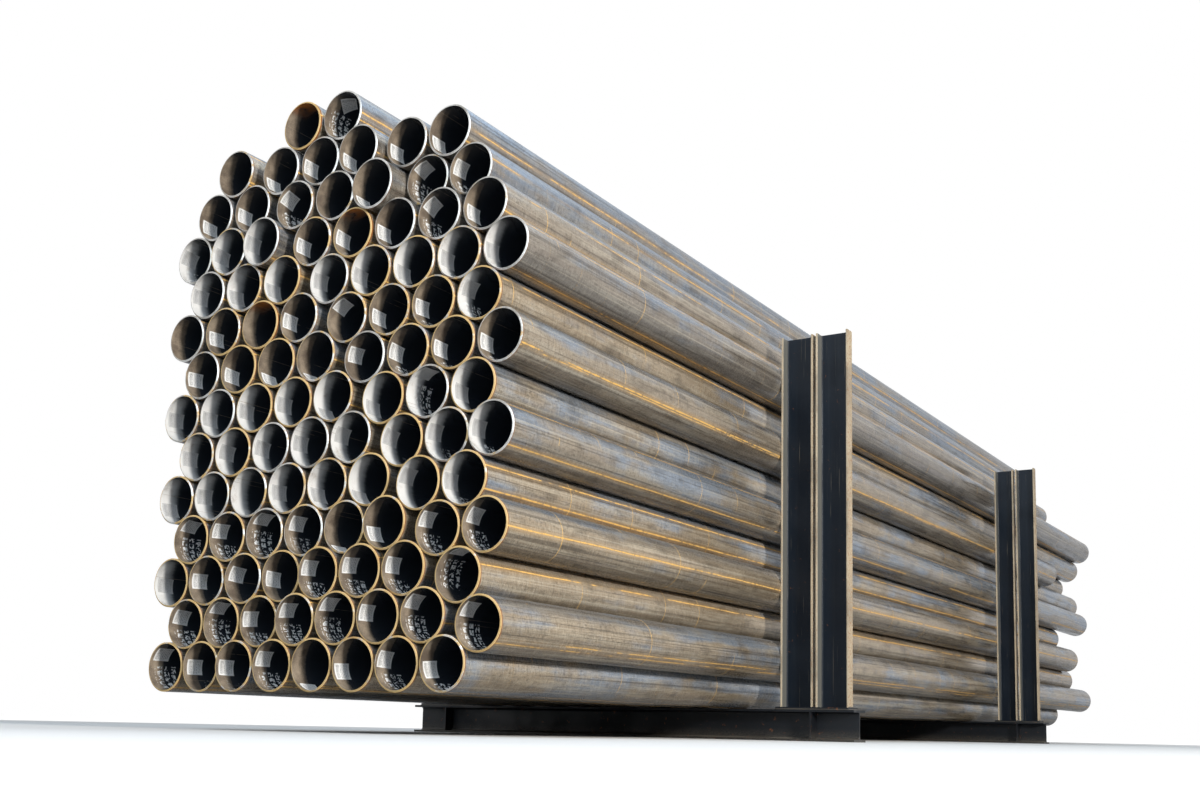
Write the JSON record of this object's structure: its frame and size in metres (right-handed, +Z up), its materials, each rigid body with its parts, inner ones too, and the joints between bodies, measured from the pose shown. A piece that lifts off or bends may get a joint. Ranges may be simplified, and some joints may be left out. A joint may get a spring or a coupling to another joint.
{
  "type": "stack of steel pipes",
  "caption": "Long stack of like steel pipes with bevelled open ends, nested in layers between channel posts on two cross beams.",
  "frame": {"origin": "on the ground, at the bottom centre of the whole stack and rack", "axes": "+Z up, +Y along the pipes away from the ends with the paper labels, +X across the rack"},
  "size_m": [3.518, 12.4538, 3.4566],
  "materials": {
    "pipe_steel": "mill scale, streaked and lightly rusted",
    "rack_paint": "worn dark blue-grey paint"
  },
  "bodies": {
    "root": {"pipe_layer_01": "pipe_steel", "pipe_layer_02": "pipe_steel", "pipe_layer_03": "pipe_steel", "pipe_layer_04": "pipe_steel", "pipe_layer_05": "pipe_steel", "pipe_layer_06": "pipe_steel", "pipe_layer_07": "pipe_steel", "pipe_layer_08": "pipe_steel", "pipe_layer_09": "pipe_steel", "pipe_layer_10": "pipe_steel", "pipe_layer_11": "pipe_steel", "pipe_layer_12": "pipe_steel", "pipe_layer_13": "pipe_steel", "pipe_layer_14": "pipe_steel", "sleeper_front": "rack_paint", "sleeper_back": "rack_paint", "base_plate_front_left": "rack_paint", "base_plate_front_right": "rack_paint", "base_plate_back_left": "rack_paint", "base_plate_back_right": "rack_paint", "post_front_left_inner": "rack_paint", "post_front_left_outer": "rack_paint", "post_front_right_inner": "rack_paint", "post_front_right_outer": "rack_paint", "post_back_left_inner": "rack_paint", "post_back_left_outer": "rack_paint", "post_back_right_inner": "rack_paint", "post_back_right_outer": "rack_paint"}
  },
  "joints": []
}
